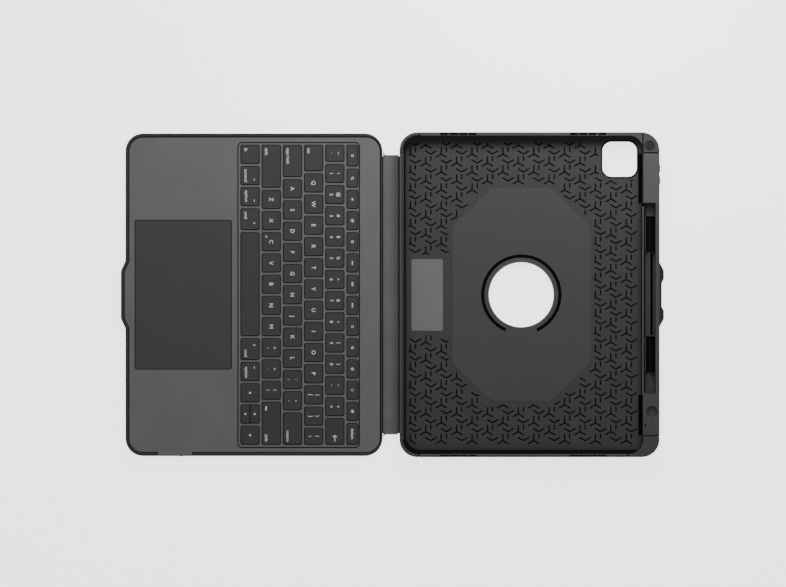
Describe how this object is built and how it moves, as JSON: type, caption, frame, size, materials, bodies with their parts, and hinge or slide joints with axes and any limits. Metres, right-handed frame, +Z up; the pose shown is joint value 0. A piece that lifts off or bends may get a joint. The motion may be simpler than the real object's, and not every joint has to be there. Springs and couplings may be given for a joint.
{
  "type": "tablet keyboard case",
  "caption": "Folding tablet case with a built-in keyboard and trackpad, cloth spine, stand panel and a turning tablet tray with a stylus rail.",
  "frame": {"origin": "on the table, at the middle of the open case", "axes": "+X from the keyboard half to the tray half, +Y along the fold lines, +Z up from the table"},
  "size_m": [0.4884, 0.2916, 0.0116],
  "materials": {
    "cover_shell": "soft-touch coating over stiff board",
    "rim": "moulded rubbery rim",
    "deck": "fine grained soft-touch grey",
    "key_web": "fine grained grey",
    "keycap": "matt dark grey with white legends",
    "trackpad": "smooth satin dark grey",
    "plate_steel": "zinc plated sheet",
    "screw_steel": "small machine screws",
    "port_metal": "plated socket shell",
    "membrane": "printed polyester sheet",
    "dome_rubber": "silicone",
    "link_plastic": "natural acetal",
    "battery": "pouch cell foil",
    "circuit": "solder mask green",
    "magnet": "nickel plated",
    "switch_black": "moulded black",
    "spine_cloth": "grey coated woven cloth",
    "fold_cloth": "dark hinge cloth",
    "fibreboard": "pressed stiffener board",
    "leg_board": "stiff flap with a fine woven face",
    "acetal": "natural acetal",
    "hub_plastic": "glass filled nylon",
    "floor": "grooved rubbery tray floor",
    "hub_plate": "smooth satin",
    "liner": "soft black liner",
    "label": "brushed grey blank label",
    "frame": "satin hard frame",
    "corner_rubber": "shock absorbing corner",
    "rail_panel": "smooth satin insert",
    "button": "rubbery button"
  },
  "bodies": {
    "keyboard_half": {"front_cover": "cover_shell", "front_rim": "rim", "keyboard_base": "hub_plastic", "top_deck": "deck", "key_frame": "key_web", "support_plate": "plate_steel", "key_membrane": "membrane", "rubber_domes": "dome_rubber", "scissor_links": "link_plastic", "battery_cells": "battery", "main_board": "circuit", "trackpad_module": "circuit", "stand_magnets": "magnet", "usb_port": "port_metal", "deck_screws": "screw_steel", "front_hinge_fabric": "fold_cloth"},
    "trackpad": {"trackpad": "trackpad"},
    "power_switch": {"power_switch": "switch_black"},
    "key_space": {"key_space": "keycap"},
    "key_arrow_left": {"key_arrow_left": "keycap"},
    "key_arrow_up": {"key_arrow_up": "keycap"},
    "key_arrow_down": {"key_arrow_down": "keycap"},
    "key_arrow_right": {"key_arrow_right": "keycap"},
    "keys_modifiers": {"keys_modifiers": "keycap"},
    "key_left_shift": {"key_left_shift": "keycap"},
    "key_right_shift": {"key_right_shift": "keycap"},
    "keys_lower_letters": {"keys_lower_letters": "keycap"},
    "key_caps_lock": {"key_caps_lock": "keycap"},
    "keys_home_letters": {"keys_home_letters": "keycap"},
    "key_return": {"key_return": "keycap"},
    "key_tab": {"key_tab": "keycap"},
    "keys_upper_letters": {"keys_upper_letters": "keycap"},
    "keys_numbers": {"keys_numbers": "keycap"},
    "key_backspace": {"key_backspace": "keycap"},
    "keys_function": {"keys_function": "keycap"},
    "spine": {"spine_board": "fibreboard", "spine_fabric": "spine_cloth", "rear_hinge_fabric": "fold_cloth"},
    "back_lower": {"back_lower_panel": "cover_shell"},
    "stand_leg": {"stand_leg": "leg_board", "stand_hinge_fabric": "fold_cloth"},
    "back_upper": {"back_upper_panel": "cover_shell", "bearing_washer": "acetal"},
    "tray": {"hub_sleeve": "hub_plastic", "retainer_ring": "hub_plastic", "retainer_screws": "screw_steel", "tray_floor": "floor", "inner_liner": "liner", "hub_plate": "hub_plate", "label_plate": "label", "camera_gasket": "liner", "left_bumper": "frame", "top_bumper": "frame", "bottom_bumper": "frame", "corner_bumpers": "corner_rubber", "stylus_rail": "frame", "stylus_grips": "liner", "volume_panel": "rail_panel"},
    "volume_up": {"volume_up": "button"},
    "volume_down": {"volume_down": "button"}
  },
  "joints": [
    {"name": "key_space_press", "type": "slide", "parent": "keyboard_half", "child": "key_space", "axis": [0, 0, 1], "range_m": [-0.0012, 0], "stiffness_N_per_m": 500, "springref_m": 0.0002, "deforming": ["rubber_domes", "scissor_links"]},
    {"name": "key_arrow_left_press", "type": "slide", "parent": "keyboard_half", "child": "key_arrow_left", "axis": [0, 0, 1], "range_m": [-0.0012, 0], "stiffness_N_per_m": 500, "springref_m": 0.0002},
    {"name": "key_arrow_up_press", "type": "slide", "parent": "keyboard_half", "child": "key_arrow_up", "axis": [0, 0, 1], "range_m": [-0.0012, 0], "stiffness_N_per_m": 500, "springref_m": 0.0002},
    {"name": "key_arrow_down_press", "type": "slide", "parent": "keyboard_half", "child": "key_arrow_down", "axis": [0, 0, 1], "range_m": [-0.0012, 0], "stiffness_N_per_m": 500, "springref_m": 0.0002},
    {"name": "key_arrow_right_press", "type": "slide", "parent": "keyboard_half", "child": "key_arrow_right", "axis": [0, 0, 1], "range_m": [-0.0012, 0], "stiffness_N_per_m": 500, "springref_m": 0.0002},
    {"name": "keys_modifiers_press", "type": "slide", "parent": "keyboard_half", "child": "keys_modifiers", "axis": [0, 0, 1], "range_m": [-0.0012, 0], "stiffness_N_per_m": 2100, "springref_m": 0.0002},
    {"name": "key_left_shift_press", "type": "slide", "parent": "keyboard_half", "child": "key_left_shift", "axis": [0, 0, 1], "range_m": [-0.0012, 0], "stiffness_N_per_m": 500, "springref_m": 0.0002},
    {"name": "key_right_shift_press", "type": "slide", "parent": "keyboard_half", "child": "key_right_shift", "axis": [0, 0, 1], "range_m": [-0.0012, 0], "stiffness_N_per_m": 500, "springref_m": 0.0002},
    {"name": "keys_lower_letters_press", "type": "slide", "parent": "keyboard_half", "child": "keys_lower_letters", "axis": [0, 0, 1], "range_m": [-0.0012, 0], "stiffness_N_per_m": 3500, "springref_m": 0.0002},
    {"name": "key_caps_lock_press", "type": "slide", "parent": "keyboard_half", "child": "key_caps_lock", "axis": [0, 0, 1], "range_m": [-0.0012, 0], "stiffness_N_per_m": 500, "springref_m": 0.0002},
    {"name": "keys_home_letters_press", "type": "slide", "parent": "keyboard_half", "child": "keys_home_letters", "axis": [0, 0, 1], "range_m": [-0.0012, 0], "stiffness_N_per_m": 3850, "springref_m": 0.0002},
    {"name": "key_return_press", "type": "slide", "parent": "keyboard_half", "child": "key_return", "axis": [0, 0, 1], "range_m": [-0.0012, 0], "stiffness_N_per_m": 500, "springref_m": 0.0002},
    {"name": "key_tab_press", "type": "slide", "parent": "keyboard_half", "child": "key_tab", "axis": [0, 0, 1], "range_m": [-0.0012, 0], "stiffness_N_per_m": 500, "springref_m": 0.0002},
    {"name": "keys_upper_letters_press", "type": "slide", "parent": "keyboard_half", "child": "keys_upper_letters", "axis": [0, 0, 1], "range_m": [-0.0012, 0], "stiffness_N_per_m": 4550, "springref_m": 0.0002},
    {"name": "keys_numbers_press", "type": "slide", "parent": "keyboard_half", "child": "keys_numbers", "axis": [0, 0, 1], "range_m": [-0.0012, 0], "stiffness_N_per_m": 4550, "springref_m": 0.0002},
    {"name": "key_backspace_press", "type": "slide", "parent": "keyboard_half", "child": "key_backspace", "axis": [0, 0, 1], "range_m": [-0.0012, 0], "stiffness_N_per_m": 500, "springref_m": 0.0002},
    {"name": "keys_function_press", "type": "slide", "parent": "keyboard_half", "child": "keys_function", "axis": [0, 0, 1], "range_m": [-0.0012, 0], "stiffness_N_per_m": 4900, "springref_m": 0.0002},
    {"name": "trackpad_click", "type": "slide", "parent": "keyboard_half", "child": "trackpad", "axis": [0, 0, 1], "range_m": [-0.0003, 0], "stiffness_N_per_m": 6000, "springref_m": 0.0001},
    {"name": "power_switch_slide", "type": "slide", "parent": "keyboard_half", "child": "power_switch", "axis": [1, 0, 0], "range_m": [0, 0.0028]},
    {"name": "front_fold", "type": "hinge", "parent": "keyboard_half", "child": "spine", "pos_m": [-0.0087, 0, 0.0016], "axis": [0, -1, 0], "range_deg": [0, 90], "deforming": ["front_hinge_fabric"]},
    {"name": "back_fold", "type": "hinge", "parent": "spine", "child": "back_lower", "pos_m": [0.0058, 0, 0.0016], "axis": [0, -1, 0], "range_deg": [0, 90], "deforming": ["rear_hinge_fabric"]},
    {"name": "stand_raise", "type": "hinge", "parent": "back_lower", "child": "stand_leg", "pos_m": [0.0094, 0, 0.00122], "axis": [0, 1, 0], "range_deg": [-90, 0]},
    {"name": "stand_fold", "type": "hinge", "parent": "stand_leg", "child": "back_upper", "pos_m": [0.077, 0, 0], "axis": [0, 1, 0], "range_deg": [0, 66], "deforming": ["stand_hinge_fabric"]},
    {"name": "tray_turn", "type": "hinge", "parent": "back_upper", "child": "tray", "pos_m": [0.1158, 0, 0.0028], "axis": [0, 0, 1], "range_deg": [-180, 180]},
    {"name": "volume_up_press", "type": "slide", "parent": "tray", "child": "volume_up", "axis": [1, 0, 0], "range_m": [-0.0005, 0], "stiffness_N_per_m": 2000, "springref_m": 0.0001},
    {"name": "volume_down_press", "type": "slide", "parent": "tray", "child": "volume_down", "axis": [1, 0, 0], "range_m": [-0.0005, 0], "stiffness_N_per_m": 2000, "springref_m": 0.0001}
  ],
  "couplings": [
    {"joint": "stand_fold", "follows": "stand_raise", "ratio": -0.71111},
    {"joint": "tray_turn", "follows": "stand_raise", "ratio": -1}
  ]
}
